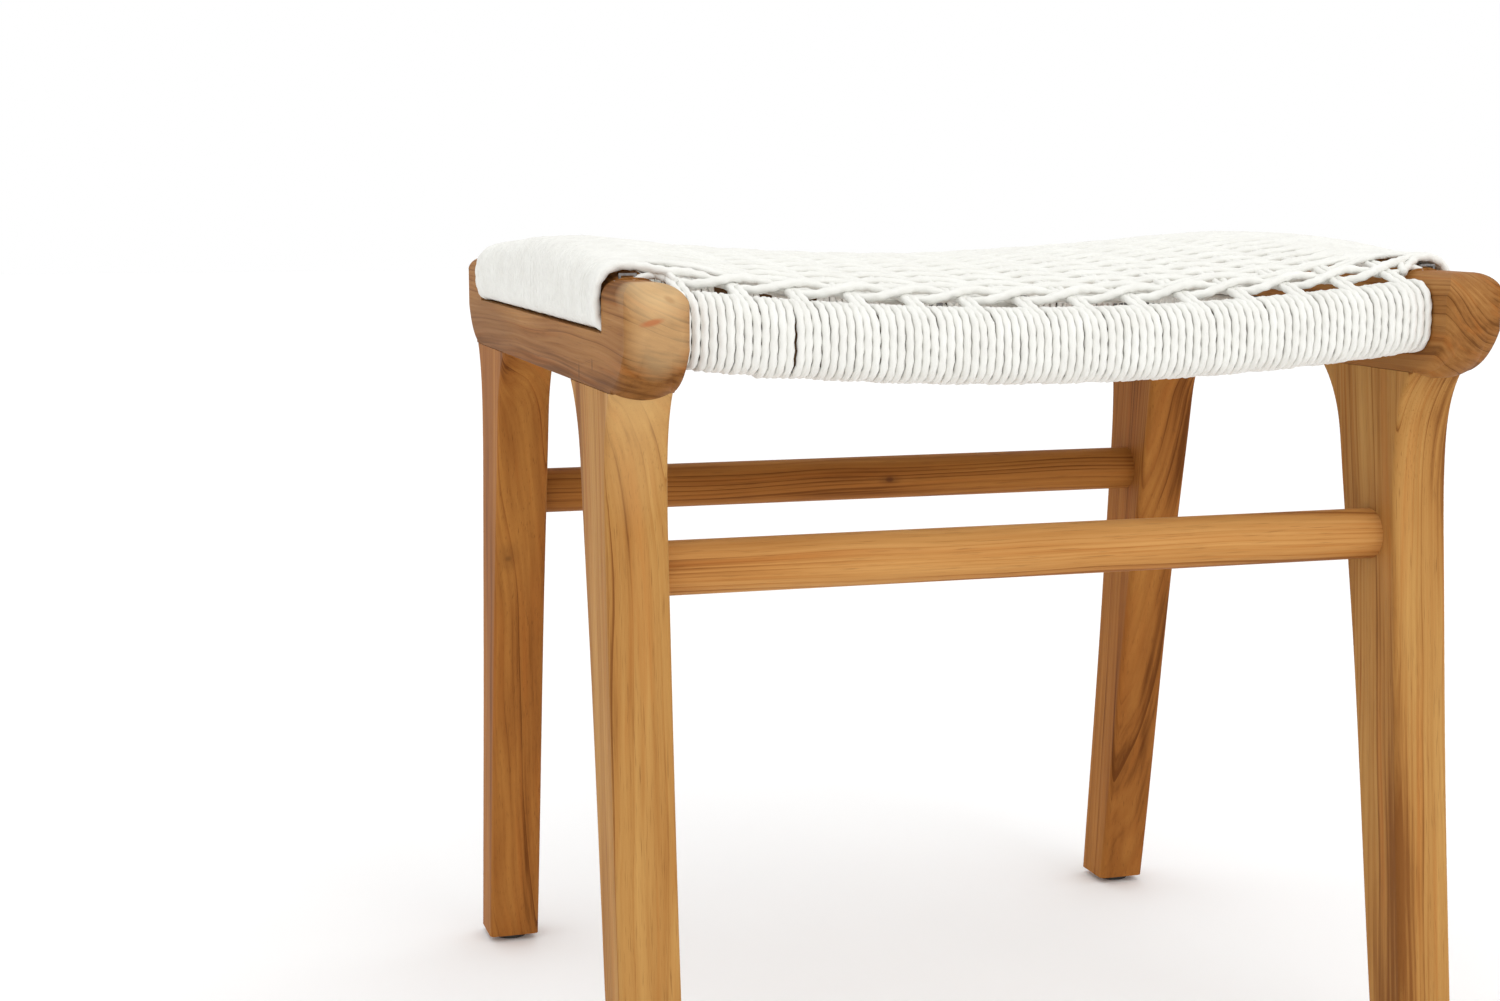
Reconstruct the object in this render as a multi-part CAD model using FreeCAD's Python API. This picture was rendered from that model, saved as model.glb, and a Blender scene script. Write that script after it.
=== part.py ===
import FreeCAD, Part

import math
import os

# A low teak stool with a saddle seat woven from cord. Millimetres. X runs along the stool,
# Y from front to back, Z up. The origin is on the floor, under the middle of the stool.

V = FreeCAD.Vector

# Frame
LEG_SPACING = 440.0          # between the middles of the left and right legs
BOARD = 32.0                 # thickness of the legs and end rails, along X
LEG_FOOT_Z = 4.0             # underside of the wood, on top of the glide
RAIL_BOTTOM = 395.0          # where the legs meet the end rails
SLOT_BOTTOM = 423.0          # the slot that the seat cords go into
SLOT_TOP = 428.0
EAR_TOP = 449.0
EAR_INNER = 170.0            # distance of the ear's inner face from the centre plane
EAR_NOSE = 221.0             # distance of the ear's front from the centre plane
EAR_ROUND_OUT = 8.5
EAR_ROUND_IN = 13.0
EAR_BELLY = 3.0              # how far the lip's underside bows down
LIP_START = 188.0
NOSE_RADIUS = 34.0
NOSE_CENTRE_Z = RAIL_BOTTOM + NOSE_RADIUS
BAR_END_TOP = 450.0
EDGE_ROUND = 3.0             # hand-sanded edges
RAIL_EDGE_ROUND = 0.8        # sanded flush with the legs

# Bar over the slot, which carries the side-to-side cords
BAR_THICK = 28.0
BAR_CROWN_TOP = 462.0
BAR_ROUND = 11.0

# Stretchers
STRETCHER_D = 28.0
STRETCHER_Y = 152.0
STRETCHER_Z = 303.0
STRETCHER_TENON_D = 18.0
STRETCHER_TENON_LEN = 20.0

# Front and rear seat rails: boards that dip in the middle
SEAT_RAIL_INNER = 175.0
SEAT_RAIL_OUTER = 201.0
SEAT_RAIL_TOP_END = 441.5
SEAT_RAIL_TOP_MIDDLE = 429.5
SEAT_RAIL_BOTTOM_END = 410.5
SEAT_RAIL_BOTTOM_MIDDLE = 398.5
SEAT_RAIL_ROUND = 10.0

# Cord
CORD = 4.0
WRAP_GAP = 1.0               # between the end of a wrap and the ear
ROLL_END = 167.5             # where the cords on an end rail stop, short of the ear
PANEL_HALF_DEPTH = 169.0
PANEL_THICK = 8.0
PANEL_TOP_END = BAR_CROWN_TOP + CORD
PANEL_TOP_MIDDLE = 455.3
CROWN_END = 12.0             # how far the seat falls from its middle to its front edge
CROWN_MIDDLE = 15.0
TWINE_D = 7.0
TWINE_Y = 173.2
TWINE_Z_END = 449.5
TWINE_Z_MIDDLE = 437.2

# Dowels, nails and staples
DOWEL_D = 10.0
DOWEL_LEN = 44.0
DOWEL_YS = (125.0, 160.0)
RAIL_DOWEL_D = 8.0
RAIL_DOWEL_LEN = 36.0
RAIL_DOWEL_Y = 188.0
RAIL_DOWEL_ZS = (419.5, 432.5)
NAIL_D = 1.8
NAIL_BITE = 9.0
NAIL_HEAD_D = 4.6
NAIL_HEAD_THICK = 0.9
PAIR_COUNT = 14              # front-to-back cord pairs, each on its own nail
PAIR_PITCH = 30.36
PAIR_FIRST_X = -199.6
LOOP_COUNT = 42              # side-to-side cord loops, each on its own nail
LOOP_PITCH = 7.98
TAIL_BOTTOM = 408.0          # where the side-to-side cords end, inside the end rails
STAPLE_RISE = 2.2            # it bridges the flattened end of the cord
STAPLE_WIRE = 1.2
STAPLE_WIDTH = 9.0
STAPLE_LEG = 8.0
STAPLE_OUT = 2.5             # from the middle of the leg, away from the seat
STAPLE_Y = 168.9

# Foot glides
GLIDE_D = 22.0
GLIDE_NAIL_D = 3.0
GLIDE_NAIL_LEN = 18.0
GLIDE_HEAD_D = 7.0
GLIDE_HEAD_THICK = 1.2

LEG_X = LEG_SPACING / 2
INNER_X = LEG_X - BOARD / 2          # seat side of the end rails and legs
BAR_INNER_X = LEG_X - BAR_THICK / 2
BAR_OUTER_X = LEG_X + BAR_THICK / 2
SIDES = (-1, 1)

# Leg outline as (distance from the centre plane, height), from the end rail down to the foot.
LEG_OUTER_CURVE = ((187.5, 395), (179.6, 380), (175.4, 348), (178.6, 293), (188.5, 178), (207, 4))
LEG_INNER_CURVE = ((93.0, 395), (105.2, 382), (113.6, 365), (118.0, 345), (134.5, 258), (175, 4))


def mirrored_x(shape):
    return shape.mirror(V(0, 0, 0), V(1, 0, 0))


def mirrored_y(shape):
    return shape.mirror(V(0, 0, 0), V(0, 1, 0))


def to_corner(shape, side_x, side_y):
    """A piece modelled at the rear right corner, mirrored to any of the four corners."""
    if side_x < 0:
        shape = mirrored_x(shape)
    if side_y < 0:
        shape = mirrored_y(shape)
    return shape


def all_corners(shape):
    return [to_corner(shape, sx, sy) for sx in SIDES for sy in SIDES]


def line(a, b):
    return Part.LineSegment(a, b).toShape()


def arc(a, b, c):
    return Part.Arc(a, b, c).toShape()


def curve(points):
    spline = Part.BSplineCurve()
    spline.interpolate(points)
    return spline.toShape()


def extruded(edges, direction):
    face = Part.Face(Part.Wire(Part.__sortEdges__(edges)))
    return face.extrude(direction)


def box(low, high):
    size = high - low
    return Part.makeBox(size.x, size.y, size.z, low)


def rounded_box(low, high, radius, picks):
    """A box with the edges rounded whose middles picks accepts."""
    solid = box(low, high)
    chosen = [e for e in solid.Edges if picks(e.CenterOfMass)]
    return solid.makeFillet(radius, chosen)


def leg_blank():
    """The rear right leg: its outline across the stool, as thick as the board."""
    x = INNER_X
    outer = [V(x, y, z) for y, z in LEG_OUTER_CURVE]
    inner = [V(x, y, z) for y, z in LEG_INNER_CURVE]
    edges = [curve(outer), curve(inner), line(outer[0], inner[0]), line(outer[-1], inner[-1])]
    blank = extruded(edges, V(BOARD, 0, 0))
    long_edges = [e for e in blank.Edges if e.BoundBox.ZLength > BOARD * 2]
    return blank.makeFillet(EDGE_ROUND, long_edges)


def leg_dowels():
    """Two upright dowels for the rear right leg."""
    z = RAIL_BOTTOM - DOWEL_LEN / 2
    return [Part.makeCylinder(DOWEL_D / 2, DOWEL_LEN, V(LEG_X, y, z)) for y in DOWEL_YS]


def foot_centre():
    y = (LEG_OUTER_CURVE[-1][0] + LEG_INNER_CURVE[-1][0]) / 2
    return V(LEG_X, y, 0)


def glide_nail():
    at = foot_centre()
    recess = 1.0
    head = Part.makeCylinder(GLIDE_HEAD_D / 2, GLIDE_HEAD_THICK, at + V(0, 0, recess))
    shank = Part.makeCylinder(GLIDE_NAIL_D / 2, GLIDE_NAIL_LEN, at + V(0, 0, recess))
    return head.fuse(shank).removeSplitter()


def glide():
    at = foot_centre()
    disc = Part.makeCylinder(GLIDE_D / 2, LEG_FOOT_Z, at)
    low_edges = [e for e in disc.Edges if e.BoundBox.ZMax < 1]
    disc = disc.makeFillet(1.0, low_edges)
    well = Part.makeCylinder(GLIDE_HEAD_D / 2, 2.0, at)
    return disc.cut(well).cut(glide_nail())


def stretcher():
    """The rear stretcher, with a round tenon at each end."""
    reach = INNER_X + STRETCHER_TENON_LEN
    along = V(1, 0, 0)
    rod = Part.makeCylinder(STRETCHER_D / 2, 2 * INNER_X, V(-INNER_X, STRETCHER_Y, STRETCHER_Z), along)
    tenon = Part.makeCylinder(STRETCHER_TENON_D / 2, 2 * reach, V(-reach, STRETCHER_Y, STRETCHER_Z), along)
    return rod.fuse(tenon).removeSplitter()


def leg():
    """The rear right leg with its bores."""
    return leg_blank().cut(leg_dowels() + [stretcher(), glide_nail()])


def nose_bottom(y):
    """Height of the ear's underside at distance y: a quarter circle from the leg to the nose."""
    run = y - LIP_START
    return NOSE_CENTRE_Z - math.sqrt(NOSE_RADIUS ** 2 - run ** 2)


def ear_section(y, bottom, belly, low_round):
    """A closed outline across the ear at distance y, bowed down by belly along its underside."""
    x_out, x_in = LEG_X + BOARD / 2, INNER_X
    low_out, low_in = V(x_out, y, bottom), V(x_in, y, bottom)
    corners = (
        (V(x_out, y, EAR_TOP), EAR_ROUND_OUT, V(0, 0, -1), V(-1, 0, 0)),
        (V(x_in, y, EAR_TOP), EAR_ROUND_IN, V(1, 0, 0), V(0, 0, -1)),
        (low_in, low_round, V(0, 0, 1), V(1, 0, 0)),
        (low_out, low_round, V(-1, 0, 0), V(0, 0, 1)),
    )
    ends = [(c + a * r, c + (a + b) * r * (1 - math.sqrt(0.5)), c + b * r) for c, r, a, b in corners]
    edges = []
    for i, (first, middle, last) in enumerate(ends):
        edges.append(arc(first, middle, last))
        following = ends[(i + 1) % 4][0]
        if i == 2 and belly:
            edges.append(arc(last, V(LEG_X, y, bottom - belly), following))
        else:
            edges.append(line(last, following))
    return Part.Wire(edges)


def ear_plan():
    """The ear seen from above: straight sides and eased corners at the nose."""
    x_in, x_out = INNER_X, LEG_X + BOARD / 2
    outline = [
        line(V(x_in, EAR_INNER, 0), V(x_out, EAR_INNER, 0)),
        line(V(x_out, EAR_INNER, 0), V(x_out, EAR_NOSE - 5, 0)),
        arc(V(x_out, EAR_NOSE - 5, 0), V(x_out - 1.5, EAR_NOSE - 1.5, 0), V(x_out - 5, EAR_NOSE, 0)),
        line(V(x_out - 5, EAR_NOSE, 0), V(x_in + 6, EAR_NOSE, 0)),
        arc(V(x_in + 6, EAR_NOSE, 0), V(x_in + 1.8, EAR_NOSE - 2, 0), V(x_in, EAR_NOSE - 9, 0)),
        line(V(x_in, EAR_NOSE - 9, 0), V(x_in, EAR_INNER, 0)),
    ]
    return extruded(outline, V(0, 0, EAR_TOP + 1))


def ear_side():
    """The ear seen from the end of the stool: a round nose and an eased inner corner."""
    x, low, top_end = INNER_X, RAIL_BOTTOM - EAR_BELLY - 1, EAR_NOSE - 20
    outline = [
        line(V(x, EAR_INNER, low), V(x, EAR_NOSE, low)),
        line(V(x, EAR_NOSE, low), V(x, EAR_NOSE, EAR_TOP - 21)),
        arc(V(x, EAR_NOSE, EAR_TOP - 21), V(x, EAR_NOSE - 5.5, EAR_TOP - 5.8), V(x, top_end, EAR_TOP)),
        line(V(x, top_end, EAR_TOP), V(x, EAR_INNER + 3, EAR_TOP)),
        arc(V(x, EAR_INNER + 3, EAR_TOP), V(x, EAR_INNER + 0.9, EAR_TOP - 0.9), V(x, EAR_INNER, EAR_TOP - 3)),
        line(V(x, EAR_INNER, EAR_TOP - 3), V(x, EAR_INNER, low)),
    ]
    return extruded(outline, V(BOARD, 0, 0))


def ear():
    """The rear right ear: a rounded nose with a lip that hangs a little in front of the leg."""
    root_end = ear_section(EAR_INNER, RAIL_BOTTOM, 0, RAIL_EDGE_ROUND)
    root = Part.Face(root_end).extrude(V(0, LIP_START - EAR_INNER, 0))
    stations = [LIP_START + share * NOSE_RADIUS for share in (0, 0.33, 0.6, 0.8, 0.92, 0.985)]
    rounds = (2.5, 5.0, 6.5, 8.0, 9.0, 9.0)
    tip_sections = [ear_section(y, nose_bottom(y), EAR_BELLY, r) for y, r in zip(stations, rounds)]
    tip = Part.makeLoft(tip_sections, True, False)
    shape = root.fuse(tip).common(ear_side()).common(ear_plan())
    return shape.removeSplitter()


def crown_slab(x_low, x_high, half_depth, bottom, lift):
    """A slab over the slot whose top is crowned from front to back."""
    end_z = BAR_END_TOP + lift
    edges = [
        arc(V(x_low, -half_depth, end_z), V(x_low, 0, BAR_CROWN_TOP + lift), V(x_low, half_depth, end_z)),
        line(V(x_low, half_depth, end_z), V(x_low, half_depth, bottom)),
        line(V(x_low, half_depth, bottom), V(x_low, -half_depth, bottom)),
        line(V(x_low, -half_depth, bottom), V(x_low, -half_depth, end_z)),
    ]
    return extruded(edges, V(x_high - x_low, 0, 0))


def top_long_edges(solid):
    return [e for e in solid.Edges if e.CenterOfMass.z > BAR_END_TOP and e.BoundBox.YLength > BOARD * 2]


def bar():
    slab = crown_slab(BAR_INNER_X, BAR_OUTER_X, EAR_INNER + 1, SLOT_TOP, 0)
    return slab.makeFillet(BAR_ROUND, top_long_edges(slab))


def end_rail_blank():
    """The right end rail: lower beam, two ears and the bar over the slot, all one board."""
    reach = EAR_INNER + 2
    beam = rounded_box(
        V(INNER_X, -reach, RAIL_BOTTOM),
        V(INNER_X + BOARD, reach, SLOT_BOTTOM),
        RAIL_EDGE_ROUND,
        lambda m: abs(m.y) < 1 and m.z < SLOT_BOTTOM - 1,
    )
    rear_ear = ear()
    return beam.fuse([rear_ear, mirrored_y(rear_ear), bar()]).removeSplitter()


def end_rail():
    rail = end_rail_blank()
    for side in SIDES:
        for piece in leg_dowels() + seat_rail_dowels() + [staple()]:
            rail = rail.cut(to_corner(piece, 1, side))
    return rail.cut(end_rail_nails())


def seat_rail_shape(grow, half_length):
    """The rear seat rail, or with grow the outline of the cord round it."""
    low_y, high_y = SEAT_RAIL_INNER - grow, SEAT_RAIL_OUTER + grow
    top_end, top_middle = SEAT_RAIL_TOP_END + grow, SEAT_RAIL_TOP_MIDDLE + grow
    bottom_end, bottom_middle = SEAT_RAIL_BOTTOM_END - grow, SEAT_RAIL_BOTTOM_MIDDLE - grow
    left, right = -half_length, half_length
    edges = [
        arc(V(left, low_y, top_end), V(0, low_y, top_middle), V(right, low_y, top_end)),
        line(V(right, low_y, top_end), V(right, low_y, bottom_end)),
        arc(V(right, low_y, bottom_end), V(0, low_y, bottom_middle), V(left, low_y, bottom_end)),
        line(V(left, low_y, bottom_end), V(left, low_y, top_end)),
    ]
    blank = extruded(edges, V(0, high_y - low_y, 0))
    long_edges = [e for e in blank.Edges if e.BoundBox.XLength > half_length]
    return blank.makeFillet(SEAT_RAIL_ROUND + grow, long_edges)


def seat_rail_dowels():
    """Two dowels for the rear right end of a seat rail."""
    x = INNER_X - RAIL_DOWEL_LEN / 2
    along = V(1, 0, 0)
    radius = RAIL_DOWEL_D / 2
    return [
        Part.makeCylinder(radius, RAIL_DOWEL_LEN, V(x, RAIL_DOWEL_Y, z), along) for z in RAIL_DOWEL_ZS
    ]


def seat_rail():
    rail = seat_rail_shape(0, INNER_X)
    dowels = [to_corner(d, side, 1) for side in SIDES for d in seat_rail_dowels()]
    return rail.cut(dowels).cut(seat_rail_nails())


def nail(face_point, into):
    """A nail whose head stands a cord's thickness clear of the face it is driven into."""
    out = into * -1
    head_at = face_point + out * CORD
    shank = Part.makeCylinder(NAIL_D / 2, NAIL_BITE + CORD, head_at, into)
    head = Part.makeCylinder(NAIL_HEAD_D / 2, NAIL_HEAD_THICK, head_at, out)
    return shank.fuse(head).removeSplitter()


def seat_rail_middle_z(x):
    """Height at x of the line half way up a seat rail."""
    middle = (SEAT_RAIL_TOP_MIDDLE + SEAT_RAIL_BOTTOM_MIDDLE) / 2
    end = (SEAT_RAIL_TOP_END + SEAT_RAIL_BOTTOM_END) / 2
    return middle + (end - middle) * (x / INNER_X) ** 2


def seat_rail_nails():
    """One nail for each front-to-back pair, on the inner face of the rear seat rail."""
    xs = [PAIR_FIRST_X + i * PAIR_PITCH for i in range(PAIR_COUNT)]
    return [nail(V(x, SEAT_RAIL_INNER, seat_rail_middle_z(x)), V(0, 1, 0)) for x in xs]


def end_rail_nails():
    """One nail for each loop of side-to-side cord, inside the right end rail."""
    z = (TAIL_BOTTOM + SLOT_BOTTOM) / 2
    first = -(LOOP_COUNT - 1) / 2
    ys = [(first + i) * LOOP_PITCH for i in range(LOOP_COUNT)]
    return [nail(V(INNER_X, y, z), V(1, 0, 0)) for y in ys]


def seat_rail_wrap():
    """The cord round the rear seat rail."""
    sleeve = seat_rail_shape(CORD, INNER_X - WRAP_GAP)
    return sleeve.cut(seat_rail_shape(0, INNER_X)).cut(seat_rail_nails())


def end_roll():
    """The cords over the right end rail: over the bar, through the slot, down to the nails."""
    over = crown_slab(BAR_INNER_X, BAR_OUTER_X + CORD, ROLL_END, SLOT_TOP, CORD)
    outer_edges = [e for e in top_long_edges(over) if e.CenterOfMass.x > LEG_X]
    over = over.makeFillet(BAR_ROUND + CORD, outer_edges)
    slot_low = SLOT_BOTTOM + 0.5
    in_slot = box(
        V(INNER_X - CORD, -ROLL_END, slot_low),
        V(BAR_OUTER_X + CORD, ROLL_END, SLOT_TOP),
    )
    tail = box(
        V(INNER_X - CORD, -ROLL_END, TAIL_BOTTOM),
        V(INNER_X, ROLL_END, slot_low),
    )
    roll = over.cut(bar()).fuse([in_slot, tail]).removeSplitter()
    return roll.cut(end_rail_nails())


def seat_panel():
    """The woven saddle: hollow along the stool and crowned across it."""
    sections = []
    for share in (-1.0, -0.5, 0.0, 0.5, 1.0):
        x = share * BAR_INNER_X
        top = PANEL_TOP_MIDDLE + (PANEL_TOP_END - PANEL_TOP_MIDDLE) * share**2
        fall = CROWN_MIDDLE + (CROWN_END - CROWN_MIDDLE) * share**2
        half = PANEL_HALF_DEPTH + (ROLL_END - PANEL_HALF_DEPTH) * share**2
        edge = top - fall
        sections.append(
            Part.Wire(
                [
                    arc(V(x, -half, edge), V(x, 0, top), V(x, half, edge)),
                    line(V(x, half, edge), V(x, half, edge - PANEL_THICK)),
                    arc(
                        V(x, half, edge - PANEL_THICK),
                        V(x, 0, top - PANEL_THICK),
                        V(x, -half, edge - PANEL_THICK),
                    ),
                    line(V(x, -half, edge - PANEL_THICK), V(x, -half, edge)),
                ]
            )
        )
    return Part.makeLoft(sections, True, False)


def edge_twine():
    """The outermost twined pair of side-to-side cords, beside the rear seat rail."""
    half = INNER_X - WRAP_GAP
    path = arc(V(-half, TWINE_Y, TWINE_Z_END), V(0, TWINE_Y, TWINE_Z_MIDDLE), V(half, TWINE_Y, TWINE_Z_END))
    start = path.valueAt(path.FirstParameter)
    tangent = path.tangentAt(path.FirstParameter)
    ring = Part.Wire(Part.Circle(start, tangent, TWINE_D / 2).toShape())
    tube = Part.Wire(path).makePipeShell([ring], True, True)
    return tube.cut(seat_rail_shape(CORD, INNER_X)).cut(seat_panel())


def staple():
    """A staple over the end of the cord, on top of the bar beside the rear right ear."""
    top = BAR_END_TOP + STAPLE_RISE
    x = LEG_X + STAPLE_OUT
    low = V(x - STAPLE_WIDTH / 2, STAPLE_Y - STAPLE_WIRE / 2, top - STAPLE_LEG)
    high = V(x + STAPLE_WIDTH / 2, STAPLE_Y + STAPLE_WIRE / 2, top)
    inside = V(STAPLE_WIRE, 0, 0)
    gap = box(low + inside, high - inside - V(0, 0, STAPLE_WIRE))
    return box(low, high).cut(gap)


def group(shapes):
    return Part.makeCompound(shapes)


def parts():
    rear_leg = leg()
    right_rail = end_rail()
    right_roll = end_roll()
    rear_rail = seat_rail()
    rear_wrap = seat_rail_wrap()
    rear_twine = edge_twine()
    rear_stretcher = stretcher()
    rear_nails = group(seat_rail_nails())
    right_nails = group(end_rail_nails())
    return {
        "left_end_rail": mirrored_x(right_rail),
        "right_end_rail": right_rail,
        "front_left_leg": to_corner(rear_leg, -1, -1),
        "rear_left_leg": to_corner(rear_leg, -1, 1),
        "front_right_leg": to_corner(rear_leg, 1, -1),
        "rear_right_leg": rear_leg,
        "front_seat_rail": mirrored_y(rear_rail),
        "rear_seat_rail": rear_rail,
        "front_stretcher": mirrored_y(rear_stretcher),
        "rear_stretcher": rear_stretcher,
        "leg_dowels": group([c for d in leg_dowels() for c in all_corners(d)]),
        "seat_rail_dowels": group([c for d in seat_rail_dowels() for c in all_corners(d)]),
        "seat_weave": seat_panel(),
        "front_rail_wrap": mirrored_y(rear_wrap),
        "rear_rail_wrap": rear_wrap,
        "left_rail_cords": mirrored_x(right_roll),
        "right_rail_cords": right_roll,
        "front_edge_twine": mirrored_y(rear_twine),
        "rear_edge_twine": rear_twine,
        "front_rail_nails": mirrored_y(rear_nails),
        "rear_rail_nails": rear_nails,
        "left_rail_nails": mirrored_x(right_nails),
        "right_rail_nails": right_nails,
        "cord_staples": group(all_corners(staple())),
        "foot_glides": group(all_corners(glide())),
        "glide_nails": group(all_corners(glide_nail())),
    }


os.makedirs("parts", exist_ok=True)
for name, shape in parts().items():
    shape.exportStep(f"parts/{name}.step")
    print(name, len(shape.Solids), "solids", shape.isValid(), round(shape.Volume / 1000, 2), "cm3")
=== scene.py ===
import math
from collections import namedtuple

import bpy
import numpy as np
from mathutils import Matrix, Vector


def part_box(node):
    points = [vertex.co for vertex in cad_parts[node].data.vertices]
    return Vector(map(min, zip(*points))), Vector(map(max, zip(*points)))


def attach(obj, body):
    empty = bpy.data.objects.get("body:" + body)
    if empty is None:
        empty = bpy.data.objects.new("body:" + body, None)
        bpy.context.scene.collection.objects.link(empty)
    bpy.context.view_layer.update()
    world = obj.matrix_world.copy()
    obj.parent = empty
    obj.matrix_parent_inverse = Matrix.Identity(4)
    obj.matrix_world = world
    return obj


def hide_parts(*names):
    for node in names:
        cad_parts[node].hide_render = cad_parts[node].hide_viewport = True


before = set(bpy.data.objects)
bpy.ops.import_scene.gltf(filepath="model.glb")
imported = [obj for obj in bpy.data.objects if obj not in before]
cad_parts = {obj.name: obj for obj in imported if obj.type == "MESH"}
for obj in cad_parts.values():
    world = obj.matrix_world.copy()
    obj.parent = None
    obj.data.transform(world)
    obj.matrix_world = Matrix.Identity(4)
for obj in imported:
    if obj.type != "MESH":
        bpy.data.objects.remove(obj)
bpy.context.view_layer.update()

# A low teak stool with a woven cord seat. Lengths are in millimetres in the row frame until
# a mesh is made, and metres in Blender. X runs along the stool, -Y is its front, Z is up.
MM = 0.001


def node_box(name):
    """Lowest and highest corners of a CAD node, in millimetres."""
    low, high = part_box(name)
    return np.array(low) / MM, np.array(high) / MM


# Places that come from the frame
LEG_LOW, LEG_HIGH = node_box("rear_right_leg")
LEG_X = (LEG_LOW[0] + LEG_HIGH[0]) / 2
INNER_X = LEG_LOW[0]         # seat side of the legs and end rails
RAIL_LOW, RAIL_HIGH = node_box("rear_seat_rail")
RAIL_INNER, RAIL_OUTER = RAIL_LOW[1], RAIL_HIGH[1]
RAIL_TOP_END = RAIL_HIGH[2]
RAIL_BOTTOM_MIDDLE = RAIL_LOW[2]
BAR_CROWN_TOP = node_box("right_end_rail")[1][2]
END_NAIL_Z = sum(box[2] for box in node_box("right_rail_nails")) / 2

# Sizes that the frame's boxes don't show
RAIL_DIP = 12.0              # how much lower the seat rails are in the middle
RAIL_TOP_MIDDLE = RAIL_TOP_END - RAIL_DIP
RAIL_BOTTOM_END = RAIL_BOTTOM_MIDDLE + RAIL_DIP
RAIL_ROUND = 10.0
BAR_HALF = 14.0              # half the thickness of the bar that carries the seat
BAR_ROUND = 11.0
BAR_CROWN = 12.0             # how much higher the bar is in the middle
BAR_END_TOP = BAR_CROWN_TOP - BAR_CROWN
EAR_INNER = 170.0            # distance of an ear's inner face from the centre plane
SLOT_BOTTOM = 423.0          # the slot under the bar, which the cords go into
SLOT_TOP = 428.0

# Cord
CORD = 4.0
CORD_SIDES = 8               # faces round a cord
FLAT = 0.8                   # height of a cord on the seat, to its width
TWIST_PITCH = 15.0
TWIST_DEPTH = 0.12           # how far the twisted cord is from round
THICKNESS = (0.97, 1.02)     # of the thinnest and the thickest cord, to the usual one
SWELL = 0.04                 # how much one cord's thickness varies along it

# Front-to-back pairs, and the wraps between them on the seat rails
PAIR_COUNT = 14
PAIR_PITCH = 30.36
PAIR_FIRST_X = -199.6
PAIR_WAVE = 0.6              # how far a pair rises and falls through the rows
PAIR_LEAN = -2.0             # sideways, from the rail to the seat
PAIR_LEVEL_Y = 164.0         # where a pair comes level with the seat
CORDS_PER_REPEAT = 7         # a pair, and the wraps up to the next pair
WRAPS_BETWEEN = CORDS_PER_REPEAT - 2
WRAP_PITCH = PAIR_PITCH / CORDS_PER_REPEAT
WRAP_THICK = 0.96 * WRAP_PITCH
WRAP_BULGE = (-0.1, 0.35)    # how far the front of a wrap stands off, from tight to loose
WRAP_WANDER = 0.22
FRONT_SHARE = 0.42           # of a turn, from its nail to low on the rail's front
UNDER_SHARE = 0.27           # and to the front edge of the underside
GAP_X = -148.0               # where two front wraps stand apart
GAP_HALF = 0.75
SUNK_X = -163.0              # where a few front wraps hang lower
SUNK_BY = 0.9

# Side-to-side cords. The outermost two on each side are the twined edge.
ROLL_CORDS = 84
ROLL_PITCH = 3.99            # over an end rail
SEAT_PITCH = 4.22            # on the seat
SIDE_THICK = CORD + 0.2      # a cord spreads a little where it lies flat
SIDE_START = 11.0            # where a cord leaves the bar for the seat, from the bar's middle
SIDE_SPREAD = (12, 72)       # and where it changes from one pitch to the other
SIDE_WANDER = 0.35
CROSS_WAVE = 1.5             # how far a cord rises over a pair
ROLL_SLACK = 1.0             # how far the cords stand off the top of the bar
ROLL_PROUD = (-0.25, 0.35)   # how far a cord stands off the outside of the bar
ROLL_BOW = 0.35              # how far it bows sideways on its way round
FRONT_LIFT = 2.4             # how much more they stand up beside the front ear
FRONT_OUT = 1.8              # and how far they bulge out there
REAR_LIFT = 2.6              # the same beside the rear ear
REAR_OUT = 2.0
ROLL_DRAWN = 0.87            # thickness of the tight cords on an end rail, to that on the seat

# Seat surface
SEAT_TOP_END = BAR_CROWN_TOP + ROLL_SLACK + CORD
SEAT_TOP_MIDDLE = 455.3
SEAT_HALF = 168.5            # from the centre plane to the front edge
CROWN_END = 12.0             # how far the seat falls to its front edge, at its ends
CROWN_MIDDLE = 15.0          # and in the middle
EDGE_DROP = 2.6              # how far the outermost rows dip to the twined edge

# Twined edge: two strands that go up and down and in and out round the pairs
TWINE_Y = 173.8
TWINE_Z_END = 450.8
TWINE_Z_MIDDLE = 438.5
TWINE_RISE = 2.9
TWINE_SWAY = 3.2
TWINE_LAG = math.radians(38)  # of the rise behind the sway
TWINE_OVER = 1.5             # how far the middle of the twine is above the pairs it holds
TWINE_THICK = CORD + 0.6

rng = np.random.default_rng(7)


# ---------------------------------------------------------------- paths

def distances(path):
    """How far along a path each of its points is."""
    return np.concatenate([[0], np.cumsum(np.linalg.norm(np.diff(path, axis=0), axis=1))])


def resample(points, step):
    """The same line with points evenly spaced, about step apart."""
    points = np.asarray(points, float)
    along = distances(points)
    count = max(3, int(round(along[-1] / step)) + 1)
    at = np.linspace(0, along[-1], count)
    return np.stack([np.interp(at, along, points[:, k]) for k in range(3)], axis=1)


def relaxed(points, passes):
    """The line with its corners eased and its ends kept."""
    points = points.copy()
    for _ in range(passes):
        points[1:-1] = (points[:-2] + 2 * points[1:-1] + points[2:]) / 4
    return points


def steps(end, step):
    """Places from -end to end, a step apart."""
    return np.arange(-end, end + 0.1, step)


def corner(centre, radius, start, end, count=6):
    """Points on an arc in a plane, as (across, up), between two angles in degrees."""
    angles = np.radians(np.linspace(start, end, count))
    return [(centre[0] + radius * math.cos(a), centre[1] + radius * math.sin(a)) for a in angles]


def sag(x, half, end, middle):
    """Height at x of a shallow arc that is at end where x is half, and at middle at 0."""
    return middle + (end - middle) * (x / half) ** 2


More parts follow.
